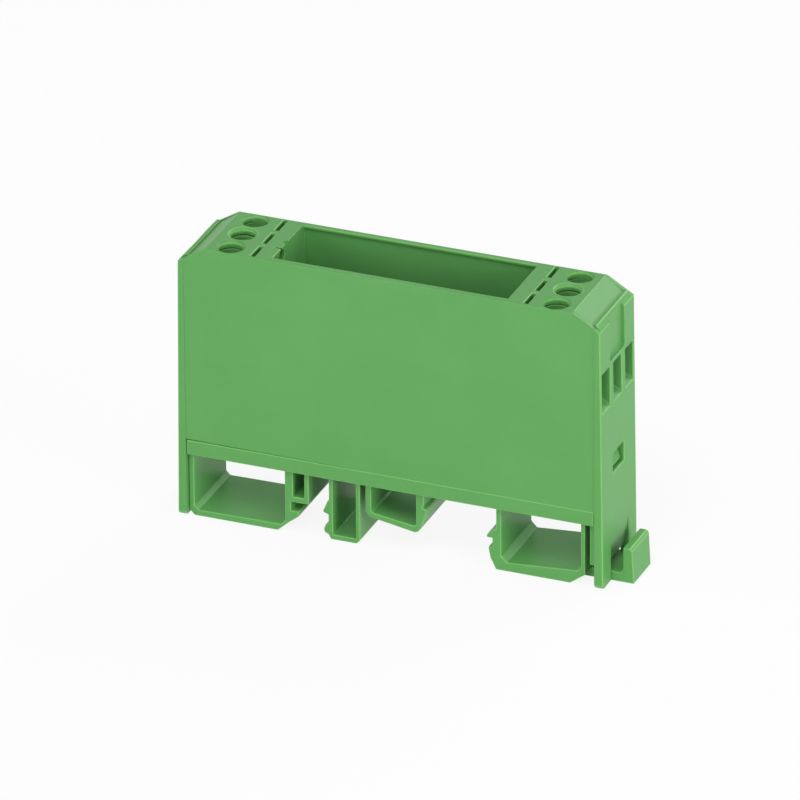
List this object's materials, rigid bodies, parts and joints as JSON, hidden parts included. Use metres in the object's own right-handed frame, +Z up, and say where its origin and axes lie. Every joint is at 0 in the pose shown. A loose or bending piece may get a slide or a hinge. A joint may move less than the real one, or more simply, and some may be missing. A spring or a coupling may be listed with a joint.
{
  "type": "din rail enclosure",
  "caption": "Narrow rail-mount electronics housing: latching rail foot, tall lift-off hood and two screw terminal blocks.",
  "frame": {"origin": "bottom centre of the whole part's box, on the surface it stands on", "axes": "+X along the length towards the release lever, +Y across the module, +Z up, away from the rail"},
  "size_m": [0.078, 0.0152, 0.0491],
  "materials": {
    "green_plastic": "satin moulded polyamide",
    "pale_plastic": "satin, pale grey",
    "nickel_plate": "nickel plated, satin",
    "tin_plate": "tinned, satin"
  },
  "bodies": {
    "foot": {"base": "green_plastic", "latch_left": "green_plastic", "latch_right": "green_plastic", "tab_pale": "pale_plastic", "block_left": "green_plastic", "block_right": "green_plastic", "pins_left_1": "tin_plate", "pins_left_2": "tin_plate", "pins_left_3": "tin_plate", "pins_right_1": "tin_plate", "pins_right_2": "tin_plate", "pins_right_3": "tin_plate"},
    "hood": {"cover": "green_plastic"},
    "clamp_screw_left_1": {"screw_left_1": "nickel_plate"},
    "clamp_cage_left_1": {"cage_left_1": "nickel_plate"},
    "clamp_screw_left_2": {"screw_left_2": "nickel_plate"},
    "clamp_cage_left_2": {"cage_left_2": "nickel_plate"},
    "clamp_screw_left_3": {"screw_left_3": "nickel_plate"},
    "clamp_cage_left_3": {"cage_left_3": "nickel_plate"},
    "clamp_screw_right_1": {"screw_right_1": "nickel_plate"},
    "clamp_cage_right_1": {"cage_right_1": "nickel_plate"},
    "clamp_screw_right_2": {"screw_right_2": "nickel_plate"},
    "clamp_cage_right_2": {"cage_right_2": "nickel_plate"},
    "clamp_screw_right_3": {"screw_right_3": "nickel_plate"},
    "clamp_cage_right_3": {"cage_right_3": "nickel_plate"}
  },
  "joints": [
    {"name": "cover_lift", "type": "slide", "parent": "foot", "child": "hood", "axis": [0, 0, 1], "range_m": [0, 0.0389], "deforming": ["latch_left", "latch_right"]},
    {"name": "screw_left_1_turn", "type": "hinge", "parent": "foot", "child": "clamp_screw_left_1", "pos_m": [-0.03005, -0.00508, 0.044], "axis": [0, 0, -1], "range_deg": [-1921.92, 0]},
    {"name": "cage_left_1_lift", "type": "slide", "parent": "foot", "child": "clamp_cage_left_1", "axis": [0, 0, 1], "range_m": [-0.0024, 0]},
    {"name": "screw_left_2_turn", "type": "hinge", "parent": "foot", "child": "clamp_screw_left_2", "pos_m": [-0.03005, 0, 0.044], "axis": [0, 0, -1], "range_deg": [-1921.92, 0]},
    {"name": "cage_left_2_lift", "type": "slide", "parent": "foot", "child": "clamp_cage_left_2", "axis": [0, 0, 1], "range_m": [-0.0024, 0]},
    {"name": "screw_left_3_turn", "type": "hinge", "parent": "foot", "child": "clamp_screw_left_3", "pos_m": [-0.03005, 0.00508, 0.044], "axis": [0, 0, -1], "range_deg": [-1921.92, 0]},
    {"name": "cage_left_3_lift", "type": "slide", "parent": "foot", "child": "clamp_cage_left_3", "axis": [0, 0, 1], "range_m": [-0.0024, 0]},
    {"name": "screw_right_1_turn", "type": "hinge", "parent": "foot", "child": "clamp_screw_right_1", "pos_m": [0.0262, -0.00508, 0.044], "axis": [0, 0, -1], "range_deg": [0, 1921.92]},
    {"name": "cage_right_1_lift", "type": "slide", "parent": "foot", "child": "clamp_cage_right_1", "axis": [0, 0, 1], "range_m": [0, 0.0024]},
    {"name": "screw_right_2_turn", "type": "hinge", "parent": "foot", "child": "clamp_screw_right_2", "pos_m": [0.0262, 0, 0.044], "axis": [0, 0, -1], "range_deg": [0, 1921.92]},
    {"name": "cage_right_2_lift", "type": "slide", "parent": "foot", "child": "clamp_cage_right_2", "axis": [0, 0, 1], "range_m": [0, 0.0024]},
    {"name": "screw_right_3_turn", "type": "hinge", "parent": "foot", "child": "clamp_screw_right_3", "pos_m": [0.0262, 0.00508, 0.044], "axis": [0, 0, -1], "range_deg": [0, 1921.92]},
    {"name": "cage_right_3_lift", "type": "slide", "parent": "foot", "child": "clamp_cage_right_3", "axis": [0, 0, 1], "range_m": [0, 0.0024]}
  ],
  "couplings": [
    {"joint": "screw_left_1_turn", "follows": "cage_left_1_lift", "rad_per_m": 13963},
    {"joint": "screw_left_2_turn", "follows": "cage_left_2_lift", "rad_per_m": 13963},
    {"joint": "screw_left_3_turn", "follows": "cage_left_3_lift", "rad_per_m": 13963},
    {"joint": "screw_right_1_turn", "follows": "cage_right_1_lift", "rad_per_m": 13963},
    {"joint": "screw_right_2_turn", "follows": "cage_right_2_lift", "rad_per_m": 13963},
    {"joint": "screw_right_3_turn", "follows": "cage_right_3_lift", "rad_per_m": 13963}
  ]
}
